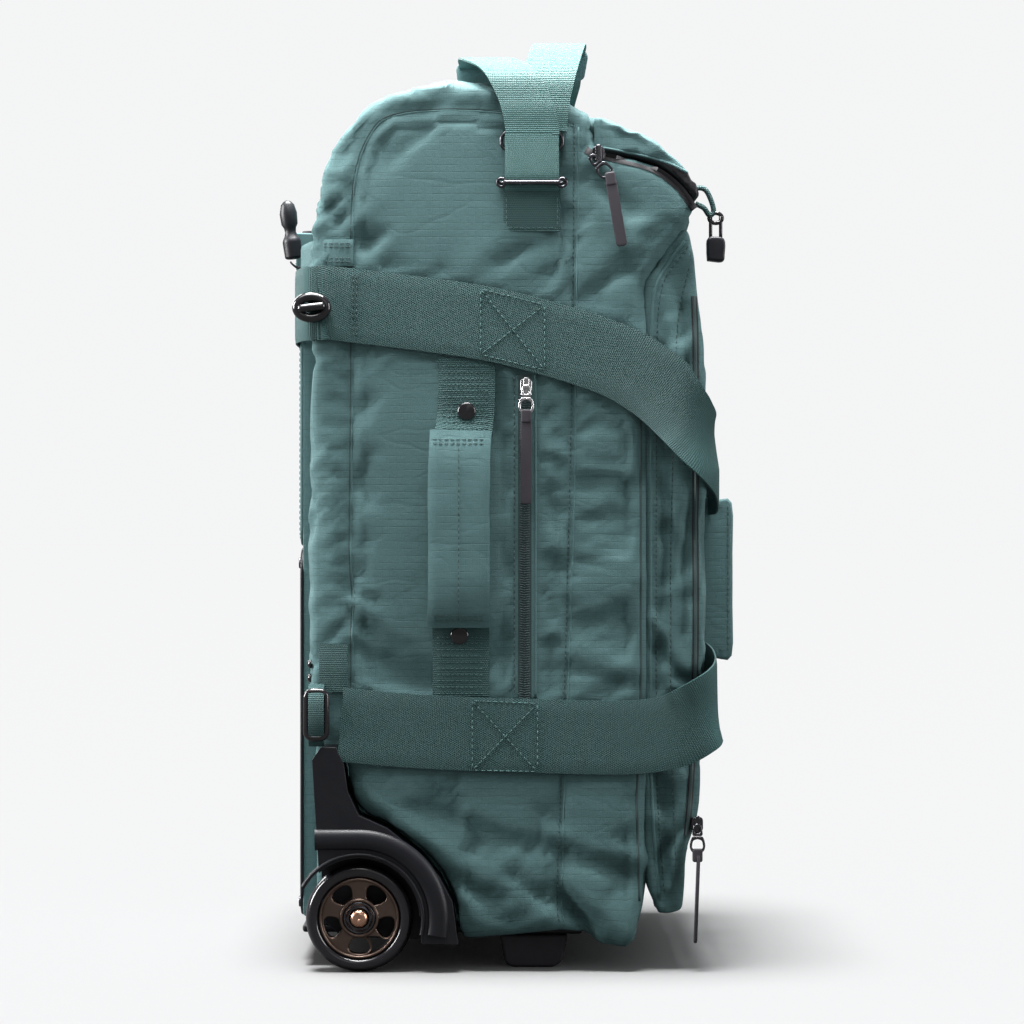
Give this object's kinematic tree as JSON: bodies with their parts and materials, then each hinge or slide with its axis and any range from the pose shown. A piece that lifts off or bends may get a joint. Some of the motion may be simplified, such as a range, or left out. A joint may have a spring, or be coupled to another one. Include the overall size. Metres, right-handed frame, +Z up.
{
  "type": "rolling duffel bag",
  "caption": "Upright soft rolling duffel with inline wheels, telescopic trolley, zipped top flap, front pocket, compression straps, haul and grab handles.",
  "frame": {"origin": "on the floor under the middle of the standing bag, its free toggle left out", "axes": "+X to the front, away from the trolley and wheels; +Z up; +Y to the bag's left side"},
  "size_m": [0.3361, 0.3722, 0.6695],
  "materials": {
    "body_fabric": "water-repellent ripstop, petrol green, matt with a slight sheen",
    "webbing": "ribbed polyester webbing, dark green",
    "black_plastic": "fine-textured moulded plastic, near black",
    "gloss_plastic": "glossy moulded plastic, black",
    "tyre": "smooth cast urethane, black",
    "bronze": "metallic bronze paint",
    "steel": "satin steel",
    "gunmetal": "gloss gunmetal plating",
    "copper": "copper-coloured domed cap",
    "aluminium": "satin anodised tube",
    "rubber": "soft rubber, dark aubergine"
  },
  "bodies": {
    "bag": {"side_panel_right": "body_fabric", "side_panel_left": "body_fabric", "back_panel": "body_fabric", "top_panel": "body_fabric", "front_panel": "body_fabric", "bottom_panel": "body_fabric", "front_pocket": "body_fabric", "back_cover": "body_fabric", "grip_sleeve": "body_fabric", "front_grab_handle": "body_fabric", "base_tray": "black_plastic", "foot_right": "black_plastic", "foot_left": "black_plastic", "back_shell": "black_plastic", "wheel_housing_right": "black_plastic", "wheel_housing_left": "black_plastic", "trolley_bracket": "black_plastic", "trolley_bezel": "black_plastic", "toggle": "black_plastic", "wheel_axle_right": "copper", "wheel_axle_left": "copper", "trolley_outer_tube_right": "aluminium", "trolley_outer_tube_left": "aluminium", "strap_hook_right": "gloss_plastic", "strap_hook_left": "gloss_plastic", "upper_strap": "webbing", "lower_strap": "webbing", "side_handle_right": "webbing", "side_handle_left": "webbing", "rear_ring_right": "gunmetal", "rear_ring_left": "gunmetal", "haul_ring_right": "gunmetal", "haul_ring_left": "gunmetal", "haul_slider_right": "gunmetal", "haul_slider_left": "gunmetal", "toggle_cord": "rubber"},
    "wheel_right": {"tyre_right": "tyre", "wheel_hub_right": "bronze", "wheel_bearing_right": "steel"},
    "wheel_left": {"tyre_left": "tyre", "wheel_hub_left": "bronze", "wheel_bearing_left": "steel"},
    "trolley_middle": {"trolley_middle_tube_right": "aluminium", "trolley_middle_tube_left": "aluminium"},
    "trolley_handle": {"trolley_inner_tube_right": "aluminium", "trolley_inner_tube_left": "aluminium", "trolley_grip": "black_plastic"},
    "button": {"grip_button": "gloss_plastic"},
    "flap": {"top_flap": "body_fabric"},
    "haul_rear": {"haul_strap_rear": "webbing", "haul_wrap_rear": "body_fabric"},
    "haul_front": {"haul_strap_front": "webbing", "haul_wrap_front": "body_fabric"},
    "side_slider": {"side_zip_slider": "steel"},
    "side_pull": {"side_zip_pull": "rubber"},
    "front_slider": {"front_zip_slider": "steel"},
    "front_pull": {"front_zip_pull": "rubber"},
    "main_slider": {"main_zip_slider": "steel"},
    "main_pull": {"main_zip_pull": "rubber"},
    "hook": {"front_hook": "black_plastic"}
  },
  "joints": [
    {"name": "wheel_right_spin", "type": "hinge", "parent": "bag", "child": "wheel_right", "pos_m": [-0.11235, -0.163, 0.038], "axis": [0, 1, 0], "continuous": true},
    {"name": "wheel_left_spin", "type": "hinge", "parent": "bag", "child": "wheel_left", "pos_m": [-0.11235, 0.163, 0.038], "axis": [0, 1, 0], "continuous": true},
    {"name": "trolley_middle_slide", "type": "slide", "parent": "bag", "child": "trolley_middle", "axis": [0, 0, 1], "range_m": [0, 0.23]},
    {"name": "trolley_handle_slide", "type": "slide", "parent": "trolley_middle", "child": "trolley_handle", "axis": [0, 0, 1], "range_m": [0, 0.23]},
    {"name": "grip_button_press", "type": "slide", "parent": "trolley_handle", "child": "button", "axis": [0, 0, -1], "range_m": [0, 0.0024], "stiffness_N_per_m": 300, "springref_m": -0.003},
    {"name": "flap_hinge", "type": "hinge", "parent": "bag", "child": "flap", "pos_m": [0.05365, 0, 0.606], "axis": [0, -1, 0], "range_deg": [0, 80]},
    {"name": "haul_rear_swing", "type": "hinge", "parent": "bag", "child": "haul_rear", "pos_m": [0.00965, 0, 0.59], "axis": [0, -1, 0], "range_deg": [0, 12]},
    {"name": "haul_front_swing", "type": "hinge", "parent": "bag", "child": "haul_front", "pos_m": [0.00965, 0, 0.59], "axis": [0, -1, 0], "range_deg": [-11, 0]},
    {"name": "side_zip_travel", "type": "slide", "parent": "bag", "child": "side_slider", "axis": [0, 0, -1], "range_m": [0, 0.185]},
    {"name": "side_pull_lift", "type": "hinge", "parent": "side_slider", "child": "side_pull", "pos_m": [0.00565, -0.1788, 0.405], "axis": [-1, 0, 0], "range_deg": [0, 80]},
    {"name": "front_zip_travel", "type": "slide", "parent": "bag", "child": "front_slider", "axis": [0, 0, 1], "range_m": [0, 0.2]},
    {"name": "front_pull_lift", "type": "hinge", "parent": "front_slider", "child": "front_pull", "pos_m": [0.12665, -0.1709, 0.095], "axis": [-1, 0, 0], "range_deg": [0, 80]},
    {"name": "main_zip_travel", "type": "slide", "parent": "bag", "child": "main_slider", "axis": [0.9855, 0, -0.1695], "range_m": [0, 0.03]},
    {"name": "main_pull_lift", "type": "hinge", "parent": "main_slider", "child": "main_pull", "pos_m": [0.06065, -0.1788, 0.571], "axis": [-1, 0, 0], "range_deg": [0, 80]},
    {"name": "front_hook_swing", "type": "hinge", "parent": "bag", "child": "hook", "pos_m": [0.14085, -0.1443, 0.537], "axis": [0, -1, 0], "range_deg": [0, 70]}
  ],
  "couplings": [
    {"joint": "trolley_handle_slide", "follows": "trolley_middle_slide", "ratio": 1}
  ]
}
